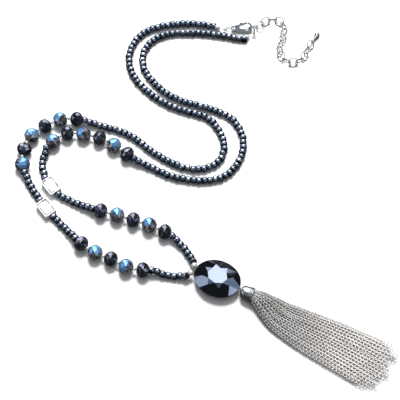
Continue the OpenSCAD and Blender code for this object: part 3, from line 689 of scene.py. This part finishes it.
def seedStretch(line, s, random):
    # beads: radius = middle + half wall * cos(v), place along = half length * sin(v), both turned
    # round the string by u
    count = max(1, round(lengthOf(line) / (s["pitch"] * mm)))
    pitch = lengthOf(line) / count
    at, way = along(line, (np.arange(count) + 0.5) * pitch)
    across, up = sidesOf(way)
    lean = random.normal(0, s["lean"], (count, 2))
    way = way + across * lean[:, :1] + up * lean[:, 1:] * s["leanUp"]
    way /= np.linalg.norm(way, axis=1, keepdims=True)
    across, up = sidesOf(way)
    grow = 1 - np.abs(random.normal(0, s["smaller"], count))
    # every other bead lies on the other side of the string
    zig = np.where(np.arange(count) % 2 == 0, 1, -1) * random.uniform(*s["strays"], count)
    at = at + across * (zig * s["stray"] * mm)[:, None]
    half = s["fill"] * pitch * (1 - np.abs(random.normal(0, s["shorter"], count)))
    u = np.linspace(0, 2 * np.pi, s["around"], endpoint=False)[:, None]
    v = np.radians(s["section"])
    wall = (s["radius"] - s["hole"]) / 2 * mm
    middle = (s["radius"] + s["hole"]) / 2 * mm
    radius = ((middle + wall * np.cos(v)) * grow[:, None])[:, None, :]
    place = (np.sin(v) * half[:, None])[:, None, :, None]
    points = (at[:, None, None, :] + way[:, None, None, :] * place
              + across[:, None, None, :] * (radius * np.cos(u))[..., None]
              + up[:, None, None, :] * (radius * np.sin(u))[..., None])
    # a leaning bead still rests on the table
    points[..., 2] -= np.minimum(points[..., 2].min(axis=(1, 2)), 0)[:, None, None]
    own = random.uniform(*s["tones"], (count, 1, 1))
    # the points at each end of a bead get 0, painted shade where it meets the next bead; the rest keep the
    # bead's own tone
    tones = np.broadcast_to(own * (np.abs(np.sin(v)) < s["endShade"]), points.shape[:3])
    return points, gridFaces(count, len(u), len(v)), tones


random = np.random.default_rng(seedBeads["randomSeed"])
seedGlass = seedFinish(seedLook)
for stretch in (side + str(part) for side in "ab" for part in range(1, 5)):
    node = "seeds_" + stretch
    line = smoothLine(np.array([ring.mean(axis=0) for ring in ringsOf(nodes[node])]))
    points, faces, tones = seedStretch(line, seedBeads, random)
    makePiece("beads_" + stretch, points, faces, seedGlass, tones, (node,))
    points, faces = tubeAlong(line[::seedBeads["stringStep"]], seedBeads["string"] * mm,
                              seedBeads["stringSides"])
    makePiece("string_" + stretch, points, faces, thread)
print("seed beads strung")


# tassel chains
tassel = {
    "layers": (15, 14, 15),          # chains side by side: top, middle and bottom layer
    "linkLength": 2.85,              # mm outside
    "linkWidth": 2.1,
    "wire": 0.5,
    "pitch": 2.0,
    "endRoom": 0.45,                 # the share of a link's length from the last link to the end
    "wave": 0.27,                    # mm that a link's sides rise and fall where links pass through
    "step": 1.4,                     # mm that each chain is behind the one beside it
    "turn": (0.05, 0.2),             # radians that a chain turns about itself, to and fro
    "turnLength": 9,                 # mm along the chain for each radian of that wave
    "drift": 0.14,                   # mm that a chain wanders sideways
    "edge": 0.55,                    # mm from the outside of the tassel to the outer chains' middle
    "spacing": 1.9,                  # mm between neighbours; where they are closer, some sink in
    "sink": (0.0, 0.7, 0.35, 1.0),   # how far each of four neighbours sinks towards the middle
    "shade": (0.3, 1.0, 1.0),        # least painted shade of each layer where the chains crowd
    "crowdShade": 2.2,               # how fast painted shade darkens a chain as it is crowded
    "clear": 0.09,                   # mm kept between the lowest links and the table
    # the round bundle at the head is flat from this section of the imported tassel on,
    # and the chains wander freely from the next one on
    "flatFrom": 5,
    "looseFrom": 6,
    "domeLeast": 0.08,               # keeps the outer chains of the bundle off its middle plane
    # the outer chains lie lower where the tassel is flat: the share of its height that the
    # outermost loses, and how sharply that falls off inwards
    "edgeDrop": 0.75,
    "edgePower": 6,
    # mm from the head, how far the middle lies to the far side there, and how much wider it is
    "drawn": ((0, 0, 0), (2.3, -0.2, 0), (5.5, -0.3, -0.9), (9.2, 0.7, -0.8), (14, 1.6, -0.2),
              (26, 1.7, 0.3), (40, 1.5, 0.4), (60, 1.1, 0.4), (90, 0.5, 0.1)),
    # mm from the head to the end of each top chain, from the tassel's far edge to its near one
    "ends": (81.5, 83.0, 86.4, 85.0, 84.0, 84.0, 84.3, 84.6, 86.0, 83.0, 83.0, 79.7, 84.0, 80.0,
             77.3),
    "shorter": (0.0, 2.0, 4.5),      # mm by which the chains of each layer are shorter
    "around": 12,
    "wireSides": 5,
    "linePoints": 160,
    "tonePoints": 40,
    "randomSeed": 11,
}


def fanOf(rings):
    # middle, half width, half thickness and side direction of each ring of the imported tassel
    middle = np.array([ring.mean(axis=0) for ring in rings])
    way = np.gradient(middle, axis=0)
    way[:, 2] = 0
    across, _ = sidesOf(way / np.linalg.norm(way, axis=1, keepdims=True))
    reach = [(ring - m) @ a for ring, m, a in zip(rings, middle, across)]
    halfWidth = np.array([(r.max() - r.min()) / 2 for r in reach])
    shift = np.array([(r.max() + r.min()) / 2 for r in reach])
    low = np.array([ring[:, 2].min() for ring in rings])
    high = np.array([ring[:, 2].max() for ring in rings])
    middle = middle + across * shift[:, None]
    middle[:, 2] = (low + high) / 2
    return middle, halfWidth, (high - low) / 2, across


def linkLoop(t):
    # one link: a wire carried round a long loop, which is a circle pulled apart along the chain;
    # its height is wave * sin(2u), so that each end dips through the next link
    u = (np.arange(t["around"]) + 0.5) / t["around"] * 2 * np.pi
    v = np.arange(t["wireSides"]) / t["wireSides"] * 2 * np.pi
    bend = (t["linkWidth"] - t["wire"]) / 2
    pull = (t["linkLength"] - t["linkWidth"]) / 2
    cosine, sine = np.cos(u)[:, None], np.sin(u)[:, None]
    out = bend + t["wire"] / 2 * np.cos(v)
    x = np.sign(cosine) * pull + cosine * out
    y = sine * out
    z = (t["wave"] * np.sin(2 * u))[:, None] + t["wire"] / 2 * np.sin(v)[None, :]
    return np.stack([x, y, z], axis=-1) * mm


def chainPoints(line, dark, t, start, turn):
    # links at equal steps along the chain, which turns a little about itself;
    # each link has one tone of painted shade, taken from the painted shade along its line
    run = np.arange((0.5 * t["linkLength"] + start) * mm,
                    lengthOf(line) - t["endRoom"] * t["linkLength"] * mm, t["pitch"] * mm)
    at, way = along(line, run)
    across, up = sidesOf(way)
    roll = turn * np.sin(run / (t["turnLength"] * mm) + start)[:, None]
    side = across * np.cos(roll) + up * np.sin(roll)
    face = np.cross(way, side)
    link = linkLoop(t)
    tones = np.interp(run / lengthOf(line), np.linspace(0, 1, len(dark)), dark)
    points = (at[:, None, None, :] + way[:, None, None, :] * link[None, :, :, :1]
              + side[:, None, None, :] * link[None, :, :, 1:2]
              + face[:, None, None, :] * link[None, :, :, 2:])
    return points, np.repeat(tones, t["around"] * t["wireSides"])


def chainLines(t, random):
    # the line of each chain, and its painted shade along it, darker where chains crowd and sink: the
    # chains lie side by side in three layers, and at the head the layers close up to a round bundle
    rings = ringsOf(nodes["tassel_fringe"])
    first, last = (rings[end].mean(axis=0) for end in (0, -1))
    capMiddle = np.array(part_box("tassel_cap")).mean(axis=0)
    if np.linalg.norm(first - capMiddle) > np.linalg.norm(last - capMiddle):
        rings = rings[::-1]
    middle, halfWidth, halfHeight, across = fanOf(rings)
    # one more section past the last, for the longest chains
    middle = np.vstack([middle, 2 * middle[-1:] - middle[-2:-1]])
    halfWidth, halfHeight = (np.append(v, v[-1]) for v in (halfWidth, halfHeight))
    across = np.vstack([across, across[-1:]])
    section = np.arange(len(middle))
    flat = np.clip(section / t["flatFrom"], 0, 1)
    loose = np.clip(section / t["looseFrom"], 0, 1)
    gone = goneAlong(middle)
    place, shift, wider = (np.array(column) * mm for column in zip(*t["drawn"]))
    middle = middle + across * np.interp(gone, place, shift)[:, None]
    halfWidth = halfWidth + np.interp(gone, place, wider)
    room = np.maximum(halfHeight - (t["wave"] + t["wire"] / 2 + t["clear"]) * mm, 0)
    spread = np.maximum(halfWidth - t["edge"] * mm, 0)
    lines, tones = [], []
    for layer, many in enumerate(t["layers"]):
        for k in range(many):
            # w is the chain's place from one side, 1, to the other, -1; the middle layer's chains
            # lie between those of the other two
            w = 1 - 2 * (k + 0.5) / many if many == t["layers"][0] else 1 - 2 * (k + 1) / (many + 1)
            crowd = np.clip(1 - 2 * spread / (many - 1) / (t["spacing"] * mm), 0, 1)
            dome = np.sqrt(np.clip(1 - w * w, t["domeLeast"], 1))
            level = 1 - t["edgeDrop"] * abs(w) ** t["edgePower"]
            sink = t["sink"][k % 4]
            rise = (1 - layer) * room * (dome * (1 - flat) + level * flat) * (1 - crowd * sink)
            drift = random.normal(0, t["drift"] * mm, len(middle)) * loose
            points = middle + across * (w * spread + drift)[:, None]
            points[:, 2] += rise
            line = smoothLine(points)
            end = np.interp(k / (many - 1), np.linspace(0, 1, len(t["ends"])), t["ends"])
            keep = (end - t["shorter"][layer]) * mm / lengthOf(middle)
            lines.append(along(line, np.linspace(0, lengthOf(line) * keep, t["linePoints"]))[0])
            # painted shade: a chain darkens where its neighbours crowd it, most where it sinks among them
            least = t["shade"][layer]
            dark = np.clip(t["crowdShade"] * crowd, 0, 1) * (least + (1 - least) * sink)
            tones.append(np.interp(np.linspace(0, keep, t["tonePoints"]), gone / gone[-1], dark))
    return lines, tones


random = np.random.default_rng(tassel["randomSeed"])
chains = list(zip(*chainLines(tassel, random)))
top = tassel["layers"][0]
# the lower layers take the darker copy of the chain's finish, painted shade under the top layer
for name, some, finish in (("chains_upper", chains[:top], silver["chain"]),
                           ("chains_lower", chains[top:], silver["inner"])):
    made = [chainPoints(line, dark, tassel, (k * tassel["step"]) % tassel["pitch"],
                        random.uniform(*tassel["turn"]))
            for k, (line, dark) in enumerate(some)]
    links, paintedShade = (np.concatenate(part) for part in zip(*made))
    faces = gridFaces(len(links), tassel["around"], tassel["wireSides"])
    makePiece(name, links, faces, finish, paintedShade, ("tassel_fringe",))
print("tassel hung with", len(chains), "chains")


# floor
floorLook = {
    "size": 4.0,                     # metres
    "drop": 0.02,                    # mm that it lies under the necklace
    "tone": (0.93, 0.93, 0.93),
    "clouds": 40.0,                  # per metre
    "roughness": 0.85,
    "rougher": 0.1,
}


def layFloor(look):
    # a flat square, large enough to fill every view
    half, low = look["size"] / 2, -look["drop"] * mm
    corners = [[-half, -half, low], [half, -half, low], [half, half, low], [-half, half, low]]
    mesh = bpy.data.meshes.new("floor")
    mesh.from_pydata(corners, [], [[0, 1, 2, 3]])
    floor = bpy.data.objects.new("floor", mesh)
    bpy.context.collection.objects.link(floor)
    f = Finish("paper", color=look["tone"])
    f.feed("roughness", look["roughness"] + f.noise(look["clouds"]) * look["rougher"])
    floor.data.materials.append(f.material)
    floor.visible_glossy = False     # polished surfaces mirror the room instead


layFloor(floorLook)
print("floor laid")
